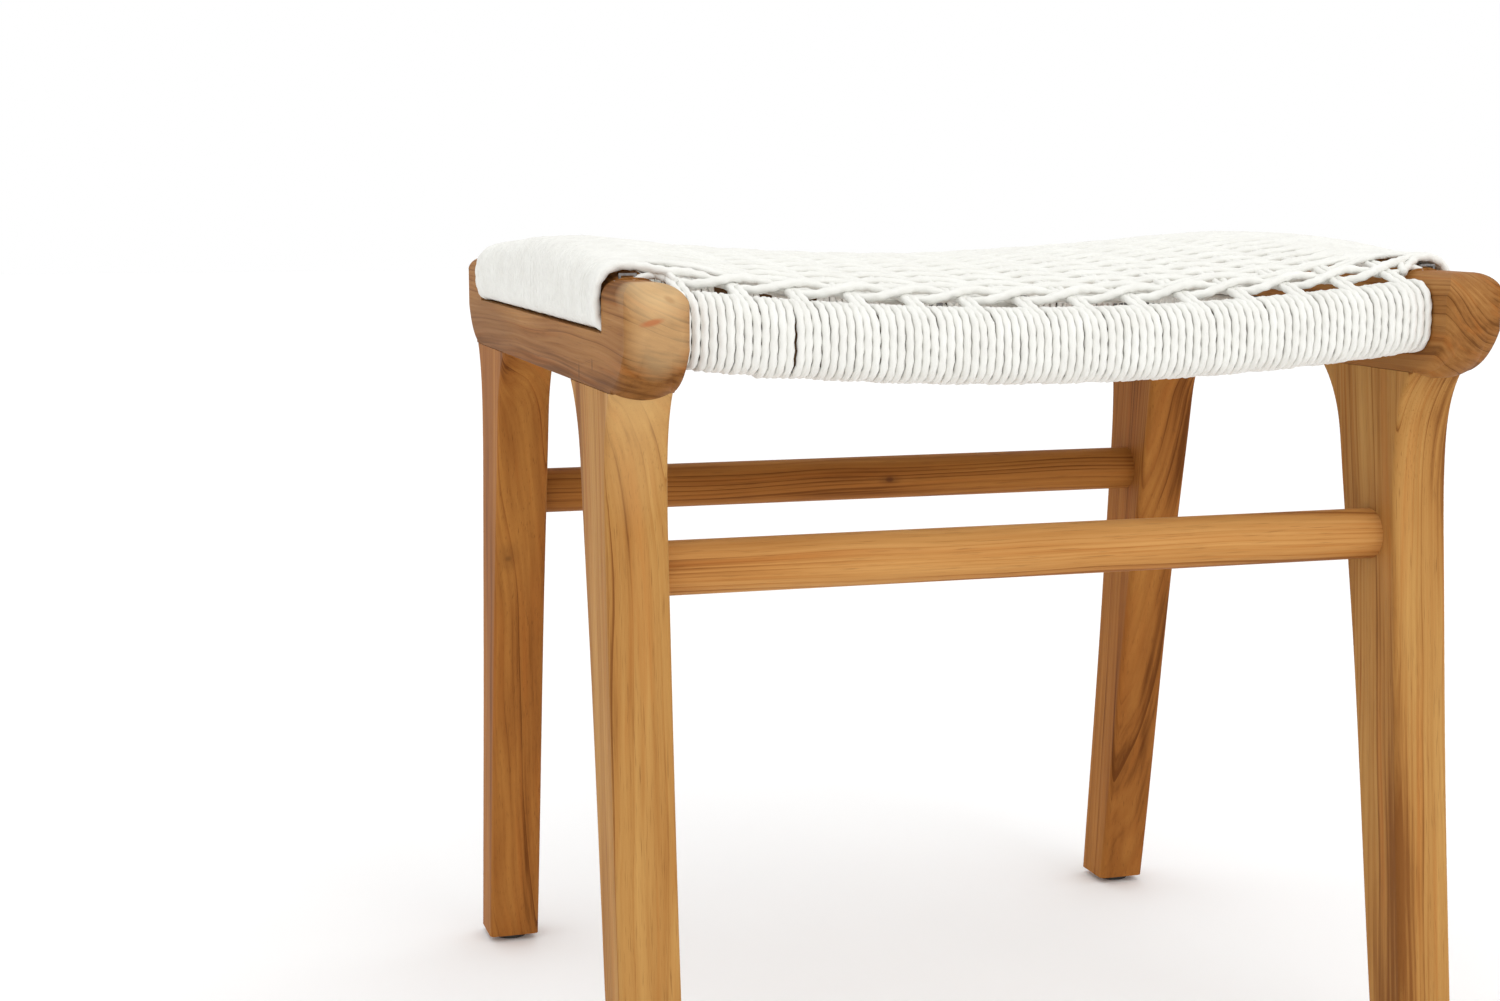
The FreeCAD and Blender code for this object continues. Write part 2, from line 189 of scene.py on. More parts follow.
def ease(value, start=0, end=1):
    """A smooth step from 0 to 1, while the value goes from start to end."""
    share = np.clip((value - start) / (end - start), 0, 1)
    return share * share * (3 - 2 * share)


def bell(value, middle, width):
    """A smooth bump that is 1 at the middle."""
    return math.exp(-(((value - middle) / width) ** 2))


def wander(x, seed, length, size):
    """A smooth irregular offset along x, repeatable for each seed."""
    local = np.random.default_rng(seed)
    total = 0.0
    for octave in (1.0, 2.3, 4.1):
        phase = local.uniform(0, 2 * math.pi)
        total = total + np.sin(2 * math.pi * octave * x / length + phase) / octave
    return size * total / 1.7


# ---------------------------------------------------------------- rails and seat surface

def rail_top(x):
    """Height of a seat rail's top, which sags to the middle."""
    return sag(x, INNER_X, RAIL_TOP_END, RAIL_TOP_MIDDLE)


def rail_bottom(x):
    """Height of a seat rail's underside, which sags as its top does."""
    return sag(x, INNER_X, RAIL_BOTTOM_END, RAIL_BOTTOM_MIDDLE)


def rail_nail_z(x):
    """Height of the nails on a seat rail's inner face."""
    return (rail_top(x) + rail_bottom(x)) / 2


def twine_z(x):
    """Height of the middle of a twined edge."""
    return sag(x, INNER_X, TWINE_Z_END, TWINE_Z_MIDDLE)


def seat_top(x, y):
    """Top of the saddle: hollow along the stool, crowned from front to back."""
    share = min(1.0, abs(x) / (LEG_X - BAR_HALF)) ** (2.0 if x < 0 else 1.3)
    top = SEAT_TOP_MIDDLE + (SEAT_TOP_END - SEAT_TOP_MIDDLE) * share
    fall = CROWN_MIDDLE + (CROWN_END - CROWN_MIDDLE) * share
    return top - fall * (y / SEAT_HALF) ** 2


def lift(y):
    """How far the cords stand up from a bar, beside its ears."""
    return REAR_LIFT * ease(y, 80, 160) + FRONT_LIFT * ease(-y, 130, 165)


def bulge(y):
    """How far the cords stand out from a bar, beside its ears."""
    return REAR_OUT * ease(y, 110, 160) + FRONT_OUT * ease(-y, 145, 165)


def weave_middle(x, y):
    """Height of the middle of the weave, between the cords that go over and under."""
    near_bar = ease(abs(x), 140, 200)
    dip = EDGE_DROP * ease(abs(y), 158, 166) * (1 - near_bar)
    return seat_top(x, y) - FLAT * CORD / 2 - CROSS_WAVE + lift(y) * near_bar - dip


# ---------------------------------------------------------------- places of the cords

def pair_x(i):
    """Middle of front-to-back pair i, counted from the left."""
    return PAIR_FIRST_X + i * PAIR_PITCH


def spread_y(cord, pitch):
    """Where a side-to-side cord lies, counted from the front, when they are a pitch apart."""
    return (cord - (ROLL_CORDS - 1) / 2) * pitch


def end_nail_y(cord):
    """Where the nail is that two neighbouring side-to-side cords share."""
    return (cord // 2 - (ROLL_CORDS / 2 - 1) / 2) * 2 * ROLL_PITCH


def row_y(j):
    """Middle of side-to-side row j on the seat. A row is two cords."""
    return spread_y(2 * j + 2.5, SEAT_PITCH)


def is_over(i, j):
    """True where row j goes over pair i. The pairs beside the bars are under every row."""
    return i in (0, PAIR_COUNT - 1) or (i + j) % 2 == 1


def cross_rise(x, j):
    """Rise of row j above the middle of the weave, eased from pair to pair."""
    bar = LEG_X - 8
    stations = [-bar] + [pair_x(i) + PAIR_LEAN for i in range(PAIR_COUNT)] + [bar]
    levels = [1] + [1 if is_over(i, j) else -1 for i in range(PAIR_COUNT)] + [1]
    k = int(np.clip(np.searchsorted(stations, x) - 1, 0, len(stations) - 2))
    step = ease(x, stations[k], stations[k + 1])
    return CROSS_WAVE * (levels[k] + (levels[k + 1] - levels[k]) * step)


def pair_rise(y, i):
    """Rise of pair i: down where a row goes over it, up where one goes under."""
    if i in (0, PAIR_COUNT - 1):
        return CROSS_WAVE - FLAT * CORD
    phase = math.pi * (y - row_y(0)) / (2 * SEAT_PITCH)
    return PAIR_WAVE * math.cos(phase) * (-1) ** i


# ---------------------------------------------------------------- cord routes

def over_bar(y, nail_y, side, proud=0.0):
    """From the top of an end rail's bar, round it, through the slot and down to its nail."""
    bar_top = sag(y, EAR_INNER, BAR_END_TOP, BAR_CROWN_TOP) + ROLL_SLACK + lift(y)
    face = LEG_X + BAR_HALF
    out = proud + bulge(y)
    over_edge = corner((face - BAR_ROUND + out, bar_top - BAR_ROUND), BAR_ROUND + CORD / 2, 90, 0, 8)
    into_slot = corner((face + 0.5, SLOT_TOP - 0.9), CORD / 2 - 0.3, 0, -90, 4)
    out_of_slot = corner((INNER_X, SLOT_BOTTOM), CORD / 2 + 0.2, 90, 180, 4)
    across = [(LEG_X - 3, bar_top + FLAT * CORD / 2)] + over_edge
    across += [(face + CORD / 2 + out, SLOT_TOP + 6)] + into_slot
    across += out_of_slot + [(INNER_X - CORD / 2, END_NAIL_Z)]
    bow = [ROLL_BOW * math.sin(math.pi * k / (len(across) - 1)) for k in range(len(across))]
    points = [(side * x, y + b * math.copysign(1, y), z) for (x, z), b in zip(across, bow)]
    return points + [(side * (INNER_X - CORD / 2), nail_y, END_NAIL_Z - CORD / 2)]


def side_cord(cord):
    """One side-to-side cord, counted from the front, from nail to nail."""
    row = (cord - 2) // 2
    roll_y, seat_y = spread_y(cord, ROLL_PITCH), spread_y(cord, SEAT_PITCH)
    points = []
    for x in steps(LEG_X - SIDE_START, 4.5):
        spread = ease(LEG_X - abs(x), *SIDE_SPREAD)
        y = roll_y + (seat_y - roll_y) * spread + wander(x, 50 + row, 260, SIDE_WANDER) * spread
        points.append((x, y, weave_middle(x, y) + cross_rise(x, row)))
    proud = rng.uniform(*ROLL_PROUD)
    left = over_bar(roll_y, end_nail_y(cord), -1, proud)[::-1]
    right = over_bar(roll_y, end_nail_y(cord), 1, proud)
    return relaxed(resample(left + points + right, 3.0), 2)


def edge_cord(side, strand):
    """One strand of the twined edge: over one pair, behind, under the next, in front."""
    cord = strand if side < 0 else ROLL_CORDS - 1 - strand
    roll_y = spread_y(cord, ROLL_PITCH)
    points = []
    for x in steps(INNER_X - 1, 3.0):
        angle = math.pi * (x - PAIR_LEAN - PAIR_FIRST_X) / PAIR_PITCH + math.pi * strand
        y = TWINE_Y - TWINE_SWAY * math.sin(angle)
        points.append((x, side * y, twine_z(x) + TWINE_RISE * math.cos(angle - TWINE_LAG)))
    left = over_bar(roll_y, end_nail_y(cord), -1)[::-1]
    right = over_bar(roll_y, end_nail_y(cord), 1)
    return relaxed(resample(left + points + right, 2.0), 4)


def round_rail(x, side):
    """A cord's way round a seat rail, from its inner face down, under, up the front and over."""
    top, bottom = rail_top(x), rail_bottom(x)
    reach = RAIL_ROUND + CORD / 2
    inner, outer = RAIL_INNER + RAIL_ROUND, RAIL_OUTER - RAIL_ROUND
    under = corner((inner, bottom + RAIL_ROUND), reach, 180, 270)
    front = corner((outer, bottom + RAIL_ROUND), reach, 270, 360)
    front_top = corner((outer, top - RAIL_ROUND), reach, 0, 90)
    over = corner((inner, top - RAIL_ROUND), reach, 90, 180)
    return [[(side * y, z) for y, z in part] for part in (under, front, front_top, over)]


def slip(x, share):
    """Sideways slip of the front of a wrap, next to the one place where two stand apart."""
    size = GAP_HALF * bell(share, FRONT_SHARE, 0.14) * math.exp(-abs(x - GAP_X) / 9)
    return math.copysign(size, x - GAP_X)


def sunk(x, share):
    """How much lower a few wraps hang under the rail."""
    return SUNK_BY * bell(x, SUNK_X, 10) * bell(share, UNDER_SHARE, 0.1)


def step_over(share):
    """Sideways travel of a turn, in pitches: all of it on the hidden inner face."""
    hidden = 0.12
    if share < hidden:
        return -0.5 * (1 - share / hidden)
    return 0.5 * max(0.0, (share - 1 + hidden) / hidden)


def wrap_group(first, count, side):
    """Some turns round a seat rail, each beside the last."""
    points = []
    for k in range(first, first + count):
        x0 = PAIR_FIRST_X + (k - 0.5) * WRAP_PITCH
        under, front, front_top, over = round_rail(x0, side)
        start = (side * (RAIL_INNER - CORD / 2), rail_nail_z(x0))
        turn = [start] + under + front + front_top + over + [start]
        loop = resample([(0, y, z) for y, z in turn], 2.0)
        loose = rng.uniform(*WRAP_BULGE)
        seed = int(rng.integers(1000))
        for share, (_, y, z) in zip(np.linspace(0, 1, len(loop), endpoint=False), loop):
            x = x0 + WRAP_PITCH * step_over(share) + wander(share, seed, 0.5, WRAP_WANDER)
            out = loose * math.sin(math.pi * share) ** 2
            if side < 0:
                x += slip(x0, share)
                z -= sunk(x0, share)
            points.append((x, y + side * out, z))
    points = np.array(points)
    points[[0, -1], 1] += side * CORD        # both ends are tucked into the rail
    return relaxed(points, 2)


def rail_end_of_pair(x, nail_x, side):
    """One cord of a pair from its nail, under and over a seat rail, to the edge of the seat."""
    under, front, front_top, _ = round_rail(x, side)
    inside = side * (RAIL_INNER - CORD / 2)
    nail_z = rail_nail_z(nail_x)
    route = [(nail_x, inside, nail_z + CORD / 2), (x, inside, nail_z)]
    route += [(x, y, z) for y, z in under + front]
    # Half of the lean comes on the rail's rounded edge, and most of the rest before the twine.
    lean = [PAIR_LEAN * 0.5 * ease(k, 0, 5) for k in range(len(front_top))]
    route += [(x + dx, y, z) for dx, (y, z) in zip(lean, front_top)]
    edge_z = twine_z(x) - TWINE_OVER
    step_y = side * (RAIL_OUTER - RAIL_ROUND - 9)
    step_z = (route[-1][2] + edge_z) / 2 + 0.6
    return route + [(x + 0.8 * PAIR_LEAN, step_y, step_z), (x + PAIR_LEAN, side * TWINE_Y, edge_z)]


def pair_cord(i, offset):
    """One cord of front-to-back pair i, from its front nail to its rear nail."""
    x = pair_x(i) + offset
    front = rail_end_of_pair(x, pair_x(i), -1)
    rear = rail_end_of_pair(x, pair_x(i), 1)[::-1]
    seat = []
    for y in steps(PAIR_LEVEL_Y, SEAT_PITCH):
        shift = PAIR_LEAN + wander(y, 200 + i, 240, 0.4)
        seat.append((x + shift, y, weave_middle(x, y) + pair_rise(y, i)))
    return relaxed(resample(front + seat + rear, 2.2), 3)


def start_tail(side_x, side_y):
    """The stapled end of the cord that is wound on a seat rail."""
    route = [
        (LEG_X + 9, EAR_INNER - 1.1, BAR_END_TOP - 3.2),
        (LEG_X - 2, EAR_INNER - 1.1, BAR_END_TOP - 1.2),
        (LEG_X - 8, EAR_INNER - 1.0, BAR_END_TOP + 1.2),
        (INNER_X + 1, EAR_INNER - 0.4, BAR_END_TOP + 1.9),
        (INNER_X - 1, EAR_INNER + 4, BAR_END_TOP + 1.6),
        (INNER_X - 2.6, EAR_INNER + 10, BAR_END_TOP - 2.0),
    ]
    return relaxed(resample([(side_x * x, side_y * y, z) for x, y, z in route], 1.5), 3)


# ---------------------------------------------------------------- meshes

def tube_rings(path, radius, twist, flat):
    """Rings of points round a path. The ring is a little oval, and twist turns the oval."""
    tangents = np.gradient(path, axis=0)
    tangents /= np.linalg.norm(tangents, axis=1)[:, None]
    helper = np.array([0.3, 0.2, 1.0]) if abs(tangents[0][2]) < 0.9 else np.array([1.0, 0.2, 0.1])
    normal = np.cross(tangents[0], helper)
    angles = np.arange(CORD_SIDES) * 2 * math.pi / CORD_SIDES
    rings = []
    for point, tangent, size, turn in zip(path, tangents, radius, twist):
        normal = normal - tangent * normal.dot(tangent)
        normal /= np.linalg.norm(normal)
        other = np.cross(tangent, normal)
        reach = size * (1 + TWIST_DEPTH * np.cos(2 * (angles - turn)))
        ring = np.outer(reach * np.cos(angles), normal) + np.outer(reach * np.sin(angles), other)
        ring[:, 2] *= 1 - (1 - flat) * (1 - tangent[2] ** 2)
        rings.append(point + ring)
    return np.array(rings)


def tube_faces(first, along):
    """Faces of one closed tube whose vertices start at first, and the UV of their corners."""
    faces, uvs = [], []
    for i in range(len(along) - 1):
        a = first + i * CORD_SIDES
        b = a + CORD_SIDES
        for s in range(CORD_SIDES):
            t = (s + 1) % CORD_SIDES
            faces.append((a + s, a + t, b + t, b + s))
            low, high = s / CORD_SIDES, (s + 1) / CORD_SIDES
            uvs += [along[i], low, along[i], high, along[i + 1], high, along[i + 1], low]
    last = first + (len(along) - 1) * CORD_SIDES
    faces.append(tuple(first + s for s in reversed(range(CORD_SIDES))))
    faces.append(tuple(last + s for s in range(CORD_SIDES)))
    uvs += [along[0], 0.0] * CORD_SIDES + [along[-1], 0.0] * CORD_SIDES
    return faces, uvs


def cord_piece(name, paths, material, thick=CORD, flat=1.0, drawn=1.0):
    """One mesh of closed tubes, with a UV map that runs along and round each cord in metres.

    flat is the height of a level cord to its width, and drawn thins the cords on an end rail.
    """
    vertices, faces, uvs = [], [], []
    for path in paths:
        along = distances(path) + rng.uniform(0, 1000)
        swell = 1 + wander(along, int(rng.integers(10000)), 40, SWELL)
        radius = thick / 2 * rng.uniform(*THICKNESS) * swell
        radius *= np.where(np.abs(path[:, 0]) > LEG_X - BAR_HALF, drawn, 1.0)
        rings = tube_rings(path, radius, 2 * math.pi * along / TWIST_PITCH, flat) * MM
        tube = tube_faces(len(vertices), along * MM)
        faces += tube[0]
        uvs += tube[1]
        vertices += rings.reshape(-1, 3).tolist()
    mesh = bpy.data.meshes.new(name)
    mesh.from_pydata(vertices, [], faces)
    layer = mesh.uv_layers.new(name="cord")
    layer.data.foreach_set("uv", uvs)
    mesh.shade_smooth()
    mesh.materials.append(material)
    piece = bpy.data.objects.new(name, mesh)
    bpy.context.collection.objects.link(piece)
    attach(piece, "root")
    return piece


# ---------------------------------------------------------------- node trees

class Nodes:
    """A node tree, with short ways to add and join nodes."""

    def __init__(self, tree):
        self.tree = tree

    def add(self, kind, settings=None, **inputs):
        """A new node with its settings made and its inputs set or joined."""
        node = self.tree.nodes.new(kind)
        for key, value in (settings or {}).items():
            setattr(node, key, value)
        for key, value in inputs.items():
            self.put(node.inputs[key.replace("_", " ")], value)
        return node

    def put(self, socket, value):
        """Joins the value to a socket if it is one, or else sets the socket to it."""
        if isinstance(value, bpy.types.NodeSocket):
            self.tree.links.new(value, socket)
        else:
            socket.default_value = value

    def math(self, operation, *values):
        """The number that an operation gives."""
        node = self.add("ShaderNodeMath", {"operation": operation})
        for socket, value in zip(node.inputs, values):
            self.put(socket, value)
        return node.outputs[0]

    def vector(self, operation, *values):
        """The vector that an operation gives, or the number where it is a length."""
        node = self.add("ShaderNodeVectorMath", {"operation": operation})
        for socket, value in zip(node.inputs, values):
            self.put(socket, value)
        return node.outputs["Value" if operation == "LENGTH" else "Vector"]

    def between(self, value, start, end, low, high):
        """A level that goes from low to high while the value goes from start to end."""
        node = self.add("ShaderNodeMapRange", Value=value, From_Min=start, From_Max=end,
                        To_Min=low, To_Max=high)
        return node.outputs[0]

    def place(self):
        """The shaded point, in the object's own space."""
        return self.add("ShaderNodeTexCoord").outputs["Object"]

    def noise(self, vector, scale, detail=2.0, roughness=0.5):
        """A soft random level at each place."""
        node = self.add("ShaderNodeTexNoise", Vector=vector, Scale=scale, Detail=detail,
                        Roughness=roughness)
        return node.outputs["Fac"]

    def ramp(self, value, stops):
        """The colour that a value has between stops of (position, colour)."""
        node = self.add("ShaderNodeValToRGB", Fac=value)
        elements = node.color_ramp.elements
        while len(elements) < len(stops):
            elements.new(0.5)
        for element, (position, colour) in zip(elements, stops):
            element.position = position
            element.color = (*colour, 1.0) if len(colour) == 3 else colour
        return node.outputs[0]

    def mix(self, factor, first, second):
        """A colour between two. The mix node has its colour sockets after its other kinds."""
        node = self.add("ShaderNodeMix", {"data_type": "RGBA"})
        self.put(node.inputs[0], factor)
        self.put(node.inputs[6], first)
        self.put(node.inputs[7], second)
        return node.outputs[2]

    def bump(self, height, strength, distance):
        """A surface direction that shows a height as relief, distance in metres deep."""
        node = self.add("ShaderNodeBump", Height=height, Strength=strength, Distance=distance)
        return node.outputs[0]


class Shader(Nodes):
    """The node tree of a new material with one principled surface."""

    def __init__(self, name):
        self.material = bpy.data.materials.new(name)
        self.material.use_nodes = True
        super().__init__(self.material.node_tree)
        self.tree.nodes.clear()
        self.surface = self.add("ShaderNodeBsdfPrincipled")
        self.add("ShaderNodeOutputMaterial", Surface=self.surface.outputs[0])

    def finish(self, **inputs):
        """Sets the surface's inputs, and gives the finished material."""
        for key, value in inputs.items():
            self.put(self.surface.inputs[key.replace("_", " ")], value)
        return self.material


def grey(value):
    """An even grey, in linear light."""
    return (value, value, value)


def linear(red, green, blue):
    """A colour given as 0 to 255 display values, in linear light."""
    def one(value):
        share = value / 255
        return share / 12.92 if share <= 0.04045 else ((share + 0.055) / 1.055) ** 2.4
    return (one(red), one(green), one(blue), 1.0)


# ---------------------------------------------------------------- teak

Tones = namedtuple("Tones", "light middle dark pore")
Mark = namedtuple("Mark", "centre size tilt colour strength")

GOLD = Tones(linear(190, 145, 83), linear(167, 117, 61), linear(128, 80, 37), linear(100, 58, 25))
AMBER = Tones(linear(203, 152, 90), linear(183, 127, 68), linear(144, 91, 43), linear(106, 63, 28))
# Rust tone for the rear legs and rear stretcher: partly their wood's own colour, partly painted shade from
# the seat above them.
SHADED_RUST = Tones(linear(173, 116, 55), linear(147, 91, 40), linear(104, 58, 20), linear(76, 41, 15))
# Brown tone for the end rails: their wood's colour, darkened further to paint the shade on the ears' sides.
SHADED_BROWN = Tones(linear(173, 125, 71), linear(143, 95, 49), linear(109, 68, 31), linear(82, 48, 22))
# Dark grey-brown tone for the seat rails: painted shade, so the wood seen between the wraps reads as the
# shadow in the slits.
SHADED_UMBER = Tones(linear(112, 82, 54), linear(92, 66, 43), linear(70, 49, 32), linear(52, 36, 24))
FLAME = linear(176, 104, 44)
# Painted light: a pale tint that lights the front and the top of an ear.
EAR_PAINTED_LIGHT = linear(234, 202, 152)
# Painted light: a pale tint that lifts the shade on the top of the front leg, under the ear.
LEG_PAINTED_LIGHT = linear(234, 192, 130)
DARK_HEART = linear(112, 72, 38)
REDDISH = linear(176, 108, 68)
PLUG = linear(150, 104, 60)
CRACK = linear(56, 36, 22)
KNOT = linear(84, 48, 24)

# Turns that bring the grain's direction to the texture's Z.
GRAIN_TURN = {
    "X": (0.0, math.radians(-90), 0.0),
    "Y": (math.radians(90), 0.0, 0.0),
    "Z": (0.0, 0.0, 0.0),
}
LEG_LEAN = 0.09              # how far the legs' grain follows their splay, in radians
RING_WIDTH = 0.0027          # in metres
RING_DRIFT = 0.022           # how far the rings wander, in metres
# How fine each part of the figure is: across, across and along the grain, per metre.
DRIFT_SCALE = (14, 14, 3.0)
CLOUD_SCALE = (34, 34, 3.0)
PORE_SCALE = (2200, 2200, 50)
# The same for what follows the rings: from ring to ring, round them and along the grain.
STREAK_SCALE = (520, 60, 6)
FLAME_SCALE = (230, 40, 5)
LATE_WOOD = ((0.0, grey(0.3)), (0.3, grey(0.0)), (0.8, grey(0.45)), (0.95, grey(1.0)), (1.0, grey(0.3)))

# Marks beyond the wood's figure, some real and some painted light: centre, half size and tilt in degrees.
EAR_MARKS_AND_PAINTED_LIGHT = (
    # The first two are painted light: the ear's front made paler, and its top brighter where the light falls
    # on it.
    Mark((-218.0, -224.0, 420.0), (26.0, 13.0, 48.0), 0.0, EAR_PAINTED_LIGHT, 0.30),
    Mark((-218.0, -214.0, 451.0), (26.0, 26.0, 22.0), 12.0, EAR_PAINTED_LIGHT, 0.50),
    Mark((-236.0, 150.0, 408.0), (10.0, 120.0, 26.0), 0.0, DARK_HEART, 0.45),
    Mark((-223.5, -221.0, 431.0), (7.0, 8.0, 1.9), 12.5, REDDISH, 0.85),
    Mark((-214.0, -217.0, 441.5), (3.4, 8.0, 1.8), -30.0, PLUG, 0.35),
    Mark((-236.0, -118.0, 400.4), (3.0, 0.9, 6.4), 0.0, CRACK, 0.9),
    Mark((-236.0, -148.6, 406.3), (3.0, 0.9, 3.8), 0.0, CRACK, 0.9),
)
# Painted light: a soft pale patch on the top of the front leg, against the shade under the ear.
FRONT_LEG_PAINTED_LIGHT = (Mark((-222.0, -196.0, 372.0), (34.0, 26.0, 74.0), 0.0, LEG_PAINTED_LIGHT, 0.6),)
LEG_KNOT = (
    Mark((-228.0, 128.0, 263.0), (9.0, 12.0, 13.0), 0.0, KNOT, 0.30),
    Mark((-228.0, 128.0, 263.0), (3.6, 8.0, 3.2), 0.0, KNOT, 0.75),
)
ROD_KNOT = (
    Mark((27.0, 138.0, 303.0), (10.0, 8.0, 4.5), 0.0, KNOT, 0.35),
    Mark((27.0, 138.0, 303.0), (3.6, 6.0, 2.2), 0.0, KNOT, 0.75),
)


def inside(s, place, spot):
    """How far a place is inside a mark, a soft-edged ellipsoid: from 0 outside to 1."""
    local = s.add("ShaderNodeMapping", {"vector_type": "TEXTURE"}, Vector=place,
                  Location=[c * MM for c in spot.centre],
                  Rotation=(0.0, math.radians(-spot.tilt), 0.0),
                  Scale=[c * MM for c in spot.size])
    return s.ramp(s.vector("LENGTH", local.outputs[0]), [(0.45, grey(1.0)), (1.0, grey(0.0))])


def place_in_log(s, place, grain, lean, pith, seed):
    """Where a place in a board was in its log, which has its grain along Z and its pith on Z."""
    turn = GRAIN_TURN[grain]
    turned = s.add("ShaderNodeMapping", {"vector_type": "POINT"}, Vector=place,
                   Rotation=(turn[0] + lean, turn[1], turn[2]))
    moved = s.add("ShaderNodeMapping", {"vector_type": "POINT"}, Vector=turned.outputs[0],
                  Location=(pith[0], pith[1], seed))
    return moved.outputs[0]


def pith_distance(s, at):
    """Distance from the pith, with a slow drift that makes the rings wavy."""
    scaled = s.vector("MULTIPLY", at, DRIFT_SCALE)
    drift = s.add("ShaderNodeTexNoise", Vector=scaled, Scale=1.0, Detail=2.0)
    centred = s.vector("SUBTRACT", drift.outputs["Color"], grey(0.5))
    moved = s.vector("MULTIPLY_ADD", centred, grey(RING_DRIFT), at)
    return s.vector("LENGTH", s.vector("MULTIPLY", moved, (1, 1, 0)))


def late_wood(s, distance):
    """The dark late wood of the growth rings, which is stronger in some rings than in others."""
    rings = s.math("MULTIPLY", distance, 1 / RING_WIDTH)
    strength = s.add("ShaderNodeTexWhiteNoise", {"noise_dimensions": "1D"}, W=s.math("FLOOR", rings))
    late = s.ramp(s.math("FRACT", rings), LATE_WOOD)
    return s.math("MULTIPLY", s.math("POWER", strength.outputs["Value"], 1.6), late)


def along_rings(s, at, distance):
    """A place given by its ring, how far round it is and how far along the grain."""
    parts = s.add("ShaderNodeSeparateXYZ", Vector=at)
    across = s.math("ADD", parts.outputs["X"], parts.outputs["Y"])
    return s.add("ShaderNodeCombineXYZ", X=distance, Y=across, Z=parts.outputs["Z"]).outputs[0]


def teak(name, grain, pith, tones, lean=0.0, seed=0.0, marks=()):
    """Oiled teak: growth rings round a pith beside the board, streaks, flames, pores and marks, of which
    some are real and some are painted light.

    pith is where the board was in its log, in metres across the grain, and seed is how far along.
    lean tips the grain, in radians.
    """
    s = Shader(name)
    place = s.place()
    at = place_in_log(s, place, grain, lean, pith, seed)
    distance = pith_distance(s, at)
    ringed = along_rings(s, at, distance)
    streak = s.noise(s.vector("MULTIPLY", ringed, STREAK_SCALE), 1.0, 4.0, 0.6)
    flame = s.noise(s.vector("MULTIPLY", ringed, FLAME_SCALE), 1.0)
    pore = s.noise(s.vector("MULTIPLY", at, PORE_SCALE), 1.0)
    cloud = s.noise(s.vector("MULTIPLY", at, CLOUD_SCALE), 1.0, 3.0, 0.55)

    darkness = s.math("MULTIPLY_ADD", late_wood(s, distance), 0.34, s.math("MULTIPLY", streak, 0.58))
    darkness = s.math("MULTIPLY_ADD", cloud, 0.95, darkness)
    colour = s.ramp(darkness, [(0.53, tones.light), (0.84, tones.middle), (1.0, tones.dark)])
    colour = s.mix(s.ramp(flame, [(0.54, grey(0.0)), (0.72, grey(0.35))]), colour, FLAME)
    pore_mask = s.ramp(pore, [(0.60, grey(0.0)), (0.72, grey(1.0))])
    colour = s.mix(s.math("MULTIPLY", pore_mask, 0.40), colour, tones.pore)
    # Each mark tints the colour: knots, cracks and stains, or patches of painted light.
    for spot in marks:
        share = s.math("MULTIPLY", inside(s, place, spot), spot.strength)
        colour = s.mix(share, colour, spot.colour)
    relief = s.math("SUBTRACT", s.math("MULTIPLY", streak, 0.6), pore_mask)
    return s.finish(
        Base_Color=colour,
        Roughness=s.math("MULTIPLY_ADD", streak, 0.22, 0.46),
        Normal=s.bump(relief, 0.25, 0.0004),
        Specular_IOR_Level=0.06,
    )


# ---------------------------------------------------------------- other materials

def cord_material():
    """Twisted white cord: its lay and fibres along the UV map, and a faint warm variation."""
    s = Shader("white_cord")
    uv = s.add("ShaderNodeUVMap", {"uv_map": "cord"}).outputs[0]
    parts = s.add("ShaderNodeSeparateXYZ", Vector=uv)
    turns = s.math("MULTIPLY", parts.outputs["X"], 1.0 / (TWIST_PITCH * MM))
    phase = s.math("MULTIPLY_ADD", parts.outputs["Y"], 2.0, turns)
    lay = s.math("SINE", s.math("MULTIPLY", phase, 2 * math.pi))
    fibre = s.noise(s.vector("MULTIPLY", uv, (900, 40, 1)), 1.0, 3.0, 0.6)
    patch = s.noise(s.place(), 60.0)
    shade = s.math("MULTIPLY_ADD", patch, 0.6, s.math("MULTIPLY", fibre, 0.4))
    height = s.math("MULTIPLY_ADD", lay, 0.5, s.math("MULTIPLY", fibre, 0.8))
    return s.finish(
        Base_Color=s.ramp(shade, [(0.3, linear(228, 227, 221)), (0.7, linear(239, 239, 234))]),
        Roughness=0.72,
        Specular_IOR_Level=0.3,
        Sheen_Weight=0.15,
        Normal=s.bump(height, 0.5, 0.0005),
    )


def steel_material():
    """Plain wire: grey, a little mottled and worn."""
    s = Shader("wire_steel")
    mottle = s.noise(s.place(), 900.0, 3.0)
    return s.finish(
        Base_Color=s.ramp(mottle, [(0.3, grey(0.16)), (0.7, grey(0.34))]),
        Roughness=s.math("MULTIPLY_ADD", mottle, 0.3, 0.3),
        Metallic=1.0,
    )


def glide_material():
    """Dark moulded plastic with a fine grain."""
    s = Shader("glide_plastic")
    grain = s.noise(s.place(), 2500.0)
    return s.finish(
        Base_Color=s.ramp(grain, [(0.3, (0.022, 0.019, 0.016)), (0.7, (0.040, 0.035, 0.030))]),
        Roughness=0.55,
        Normal=s.bump(grain, 0.2, 0.0002),
    )


def floor_material():
    """A pale studio floor, almost even."""
    s = Shader("pale_floor")
    drift = s.noise(s.place(), 1.3)
    return s.finish(Base_Color=s.ramp(drift, [(0.3, grey(0.94)), (0.7, grey(0.96))]), Roughness=0.8)


# ---------------------------------------------------------------- the stool

